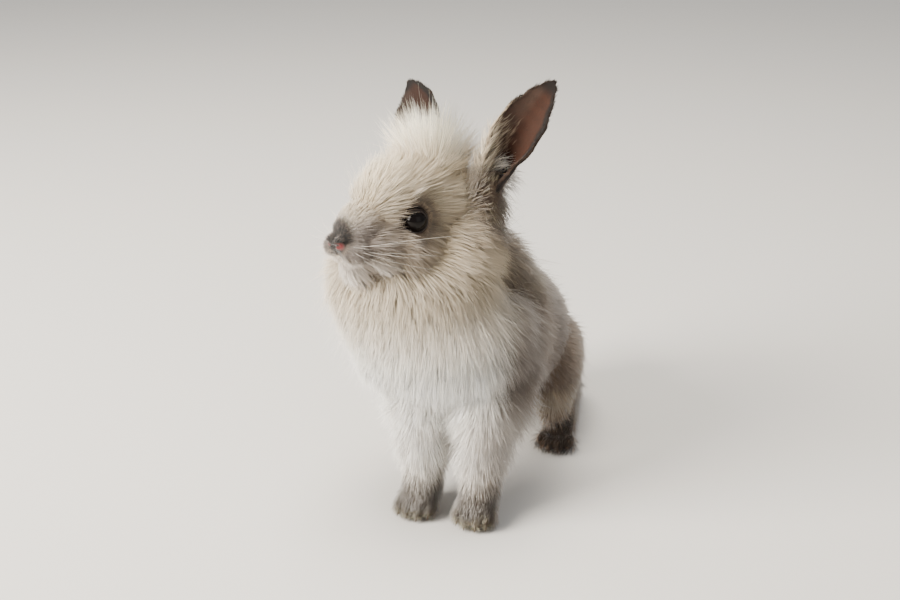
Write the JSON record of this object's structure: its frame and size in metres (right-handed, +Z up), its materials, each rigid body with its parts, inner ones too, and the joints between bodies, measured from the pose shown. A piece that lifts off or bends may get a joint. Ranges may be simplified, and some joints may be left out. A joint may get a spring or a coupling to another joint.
{
  "type": "domestic rabbit",
  "caption": "Young long-maned domestic rabbit sitting upright on straight forelegs, head raised and turned to its right, ears spread.",
  "frame": {"origin": "on the floor, under the middle of the rabbit's plan", "axes": "+Z up, -Y the way the body faces, +X the rabbit's left"},
  "size_m": [0.0952, 0.1624, 0.1778],
  "materials": {
    "head": "short soft fur with locks",
    "neck": "long soft fur in locks",
    "torso": "dense soft fur",
    "tail": "soft fur",
    "foreleg_left": "short dense fur",
    "foreleg_right": "short dense fur",
    "forepaw_left": "short flat fur",
    "forepaw_right": "short flat fur",
    "thigh_left": "dense soft fur",
    "thigh_right": "dense soft fur",
    "hindfoot_left": "short flat fur",
    "hindfoot_right": "short flat fur",
    "ear_left": "thin skin with velvet fur",
    "ear_right": "thin skin with velvet fur",
    "eye_left": "wet gloss",
    "eye_right": "wet gloss"
  },
  "bodies": {
    "root": {"head": "head", "neck": "neck", "torso": "torso", "tail": "tail", "foreleg_left": "foreleg_left", "foreleg_right": "foreleg_right", "forepaw_left": "forepaw_left", "forepaw_right": "forepaw_right", "thigh_left": "thigh_left", "thigh_right": "thigh_right", "hindfoot_left": "hindfoot_left", "hindfoot_right": "hindfoot_right", "ear_left": "ear_left", "ear_right": "ear_right", "eye_left": "eye_left", "eye_right": "eye_right"}
  },
  "joints": []
}
